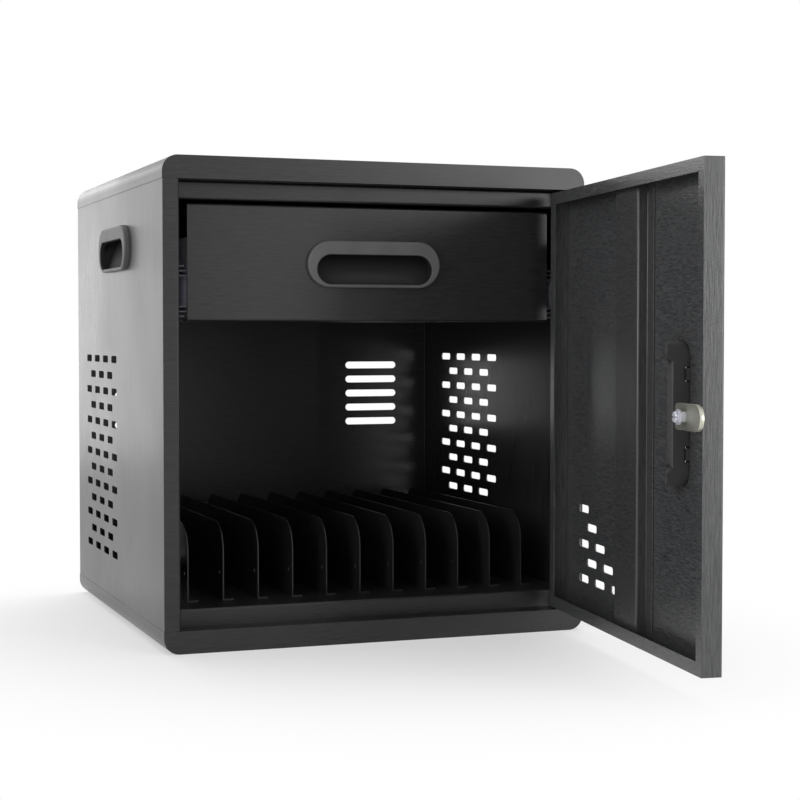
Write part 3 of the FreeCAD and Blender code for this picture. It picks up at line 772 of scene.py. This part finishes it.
@dataclass
class TelescopicSlides(SubAssembly):
    """Rails with the ball cages that run between them."""

    balls: int = 8
    ball_radius: float = 1.4 * MM
    cage_width: float = 5.2 * MM
    cage_length: float = 150.0 * MM
    cage_thickness: float = 0.6 * MM
    cage_edge: float = 0.12 * MM
    cage_columns: int = 3
    seat_inset: float = 0.4 * MM
    seat_reach_share: float = 0.125
    ball_subdivisions: int = 2
    smooth_angle: float = radians(40.0)
    rail_sheet: float = 1.2 * MM
    rails: tuple[str, ...] = ("slide_bracket", "outer_rail", "mid_rail", "inner_rail")

    def build(self) -> None:
        """Dress the rails and hang the ball cages between them."""
        for hand in ("left", "right"):
            self.paint((f"{hand}_{rail}" for rail in self.rails), ZINC)
        pattern = self.model_cage()
        for hand in ("left", "right"):
            self.hang_cages(hand, pattern)
        bpy.data.objects.remove(pattern)

    def model_cage(self) -> bpy.types.Object:
        """Model one ball cage about the origin, along Y.

        Returns:
            The cage with its balls.
        """
        deselect_all()
        rows = 2 * self.balls + 1
        bpy.ops.mesh.primitive_grid_add(x_subdivisions=self.cage_columns, y_subdivisions=rows, size=1.0)
        cage = bpy.context.object
        cage.scale = (self.cage_width, self.cage_length, 1.0)
        bpy.ops.object.transform_apply(location=False, rotation=False, scale=True)
        pitch = self.cage_length / rows
        seats = [(2 * ball + 1 - self.balls) * pitch for ball in range(self.balls)]

        def in_seat(face: bpy.types.MeshPolygon) -> bool:
            """Tell the middle faces over the seats from the rest."""
            centred = abs(face.center.x) < self.cage_width * self.seat_reach_share
            off_seat = min(abs(face.center.y - seat) for seat in seats)
            return centred and off_seat < pitch * self.seat_reach_share

        pick_faces(cage, in_seat)
        bpy.ops.mesh.inset(thickness=self.seat_inset, use_individual=True)
        bpy.ops.mesh.delete(type="FACE")
        leave_edit()
        finish_with(cage, "SOLIDIFY", {"thickness": self.cage_thickness, "offset": 0.0})
        finish_with(cage, "BEVEL", {"width": self.cage_edge, "segments": 1})
        for seat in seats:
            bpy.ops.mesh.primitive_ico_sphere_add(
                subdivisions=self.ball_subdivisions,
                radius=self.ball_radius,
                location=(0.0, seat, 0.0),
            )
            cage.select_set(True)
            bpy.context.view_layer.objects.active = cage
            bpy.ops.object.join()
        bpy.ops.object.shade_smooth_by_angle(angle=self.smooth_angle)
        return cage

    def hang_cages(self, hand: str, pattern: bpy.types.Object) -> None:
        """Set the four cages of one slide between its rails.

        Args:
            hand: Side of the cabinet.
            pattern: The cage to copy.
        """
        outer_low, outer_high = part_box(f"{hand}_outer_rail")
        mid_low, mid_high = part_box(f"{hand}_mid_rail")
        _, inner_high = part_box(f"{hand}_inner_rail")
        middle = (outer_low.y + outer_high.y) / 2
        across = (mid_low.x + mid_high.x) / 2
        level = (outer_low.z + outer_high.z) / 2
        places = {
            "outer": (outer_high.z - self.rail_sheet + mid_high.z) / 2 - level,
            "inner": (mid_high.z - self.rail_sheet + inner_high.z) / 2 - level,
        }
        for ring, rise in places.items():
            for side, sign in (("upper", 1.0), ("lower", -1.0)):
                place = Vector((across, middle, level + sign * rise))
                cage = copy_to(pattern, f"{hand}_{ring}_{side}_ball_cage", place)
                self.adopt(cage, BALL_STEEL, Body.MID_RAILS, "zinc_steel")


@dataclass
class PowerGear(SubAssembly):
    """Inlet, main switch and the power strip in the drawer."""

    head_radius: float = 2.9 * MM
    head_height: float = 1.5 * MM
    head_sides: int = 32
    crown_share: float = 0.6
    crown_segments: int = 4
    shank_radius: float = 1.5 * MM
    recess_length: float = 3.4 * MM
    recess_width: float = 0.8 * MM
    recess_depth: float = 0.9 * MM
    smooth_angle: float = radians(35.0)

    def build(self) -> None:
        """Dress the power gear and set the inlet's screws."""
        self.paint(("power_inlet", "switch_bezel", "power_strip"), POWER_PLASTIC)
        self.paint(("strip_outlets",), OUTLET_PLASTIC)
        self.paint(("main_rocker", "strip_rocker"), ROCKER_PLASTIC)
        self.paint(("inlet_pins",), BRASS)
        self.set_screws()

    def model_screw(self, length: float) -> bpy.types.Object:
        """Model one pan-head screw with a cross recess, its head looking to the back.

        Args:
            length: Length of the shank.

        Returns:
            The screw, its head's seat at the origin.
        """
        deselect_all()
        bpy.ops.mesh.primitive_cylinder_add(
            vertices=self.head_sides,
            radius=self.head_radius,
            depth=self.head_height,
            location=(0.0, 0.0, self.head_height / 2),
        )
        screw = bpy.context.object
        bpy.ops.object.transform_apply(location=True, rotation=False, scale=False)
        pick_faces(screw, lambda face: face.normal.z > FLAT_ON)
        crown = self.head_height * self.crown_share
        bpy.ops.mesh.bevel(offset=crown, segments=self.crown_segments, affect="EDGES")
        leave_edit()
        pick_faces(screw, lambda face: face.normal.z < -FLAT_ON)
        bpy.ops.mesh.inset(thickness=self.head_radius - self.shank_radius)
        bpy.ops.mesh.extrude_region_move(TRANSFORM_OT_translate={"value": (0.0, 0.0, -length)})
        leave_edit()
        for length_x, length_y in (
            (self.recess_length, self.recess_width),
            (self.recess_width, self.recess_length),
        ):
            self.cut_recess(screw, (length_x, length_y, 2 * self.recess_depth))
        screw.rotation_euler = (-pi / 2, 0.0, 0.0)
        bpy.ops.object.transform_apply(location=False, rotation=True, scale=False)
        bpy.ops.object.shade_smooth_by_angle(angle=self.smooth_angle)
        return screw

    def cut_recess(self, screw: bpy.types.Object, size: Triple) -> None:
        """Cut one arm of the cross out of the screw's head.

        Args:
            screw: The screw.
            size: Size of the arm.
        """
        deselect_all()
        bpy.ops.mesh.primitive_cube_add(size=1.0, location=(0.0, 0.0, self.head_height))
        cutter = bpy.context.object
        cutter.scale = size
        bpy.ops.object.transform_apply(location=True, rotation=False, scale=True)
        deselect_all()
        screw.select_set(True)
        bpy.context.view_layer.objects.active = screw
        finish_with(screw, "BOOLEAN", {"object": cutter, "operation": "DIFFERENCE", "solver": "EXACT"})
        bpy.data.objects.remove(cutter)

    def set_screws(self) -> None:
        """Put a screw at each end of the inlet, in place of the plain ones."""
        low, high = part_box("inlet_screws")
        pattern = self.model_screw(high.y - low.y - self.head_height)
        seat = high.y - self.head_height
        level = (low.z + high.z) / 2
        for side, across in (("left", low.x + self.head_radius), ("right", high.x - self.head_radius)):
            screw = copy_to(pattern, f"{side}_inlet_screw", Vector((across, seat, level)))
            self.adopt(screw, LOCK_METAL, Body.CABINET, "lock_metal")
            if side == "left":
                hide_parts("inlet_screws")
        bpy.data.objects.remove(pattern)


@dataclass(frozen=True)
class Softbox:
    """Rectangular lamp: where it hangs, its width and height, and its power in watts."""

    name: str
    place: Triple
    size: Pair
    power: float


@dataclass
class Studio:
    """Floor, backdrop light, lamps and camera."""

    floor_reach: float = 12.0
    floor_colour: Colour = (0.88, 0.88, 0.88)
    # Painted light: the floor's white glow, least within fade_start of shadow_centre and full beyond
    # fade_end, weakens the cast shadows, so that those away from the cabinet's foot, the door's among
    # them, fade out.
    floor_glow: float = 0.4
    shadow_centre: Triple = (-0.08, -0.12, 0.0)
    fade_start: float = 0.2
    fade_end: float = 0.6
    sky_fill: float = 0.7
    camera_place: Triple = (-0.5389, -1.6996, 0.2764)
    camera_tilt: float = 90.0 - 2.116
    camera_turn: float = -20.359
    lens: float = 80.1
    lamp_target: Triple = (0.0, 0.0, 0.2)
    lamps: tuple[Softbox, ...] = (
        Softbox("front_softbox", (1.15, -2.0, 0.2), (0.9, 1.4), 22.0),
        Softbox("back_softbox", (-0.25, 2.2, 0.45), (0.6, 0.9), 5.2),
        Softbox("left_softbox", (-2.1, -1.2, 0.9), (1.2, 1.2), 20.0),
        Softbox("top_softbox", (0.35, 0.7, 2.0), (2.2, 1.8), 26.0),
    )

    def build(self) -> None:
        """Set up the studio."""
        self.lay_floor()
        self.light_world()
        for lamp in self.lamps:
            self.hang_lamp(lamp)
        self.set_camera()
        bpy.context.scene.view_settings.view_transform = "Standard"

    def lay_floor(self) -> None:
        """Lay the pale floor; its white glow is painted light that weakens the cast shadows and turns
        plain white away from the cabinet's foot.
        """
        deselect_all()
        bpy.ops.mesh.primitive_plane_add(size=self.floor_reach)
        floor = bpy.context.object
        floor.name = "floor"
        material = bpy.data.materials.new("pale_floor")
        material.use_nodes = True
        bench = NodeBench(material.node_tree)
        place = bench.add("ShaderNodeTexCoord").outputs["Object"]
        reach = bench.add("ShaderNodeVectorMath", {"operation": "DISTANCE"})
        bench.feed(reach.inputs[0], place)
        bench.feed(reach.inputs[1], self.shadow_centre)
        far = bench.add(
            "ShaderNodeMapRange",
            {"interpolation_type": "SMOOTHSTEP"},
            Value=reach.outputs["Value"],
            From_Min=self.fade_start,
            From_Max=self.fade_end,
            To_Min=self.floor_glow,
        )
        matt = bench.add("ShaderNodeBsdfDiffuse", Color=(*self.floor_colour, 1.0))
        white = bench.add("ShaderNodeEmission", Color=WHITE, Strength=1.0)
        # The glow mixed in here is painted light over the floor's shadows.
        mix = bench.add("ShaderNodeMixShader")
        bench.feed(mix.inputs[0], far.outputs[0])
        bench.feed(mix.inputs[1], matt.outputs[0])
        bench.feed(mix.inputs[2], white.outputs[0])
        bench.add("ShaderNodeOutputMaterial", Surface=mix.outputs[0])
        floor.data.materials.append(material)

    def light_world(self) -> None:
        """Surround the cabinet with white, dimmer as a source of diffuse light."""
        world = bpy.data.worlds.new("white_studio")
        bpy.context.scene.world = world
        world.use_nodes = True
        bench = NodeBench(world.node_tree)
        path = bench.add("ShaderNodeLightPath").outputs
        seen = bench.math("MAXIMUM", path["Is Camera Ray"], path["Is Glossy Ray"])
        seen = bench.math("MAXIMUM", seen, path["Is Transmission Ray"])
        strength = bench.mix_value(seen, self.sky_fill, 1.0)
        sky = bench.add("ShaderNodeBackground", Color=WHITE, Strength=strength)
        bench.add("ShaderNodeOutputWorld", Surface=sky.outputs[0])

    def hang_lamp(self, box: Softbox) -> None:
        """Hang a softbox that looks at the cabinet's middle.

        Args:
            box: The softbox.
        """
        light = bpy.data.lights.new(box.name, "AREA")
        light.shape = "RECTANGLE"
        light.size, light.size_y = box.size
        light.energy = box.power
        lamp = bpy.data.objects.new(box.name, light)
        lamp.location = box.place
        aim = Vector(self.lamp_target) - Vector(box.place)
        lamp.rotation_euler = aim.to_track_quat("-Z", "Y").to_euler()
        bpy.context.scene.collection.objects.link(lamp)
        LOG.info("lamp %s", box.name)

    def set_camera(self) -> None:
        """Set the camera where the photograph was taken from."""
        lens = bpy.data.cameras.new("camera")
        lens.lens = self.lens
        camera = bpy.data.objects.new("camera", lens)
        camera.location = self.camera_place
        camera.rotation_euler = (radians(self.camera_tilt), 0.0, radians(self.camera_turn))
        bpy.context.scene.collection.objects.link(camera)
        bpy.context.scene.camera = camera


def main() -> None:
    """Build the cabinet's sub-assemblies in order, then the studio."""
    logging.basicConfig(level=logging.INFO, format="%(name)s: %(message)s")
    shop = FinishShop()
    for assembly in (CabinetShell, DeviceBay, Door, CamLock, Drawer, TelescopicSlides, PowerGear):
        LOG.info("building %s", assembly.__name__)
        assembly(shop).build()
    Studio().build()


if __name__ == "__main__":
    main()
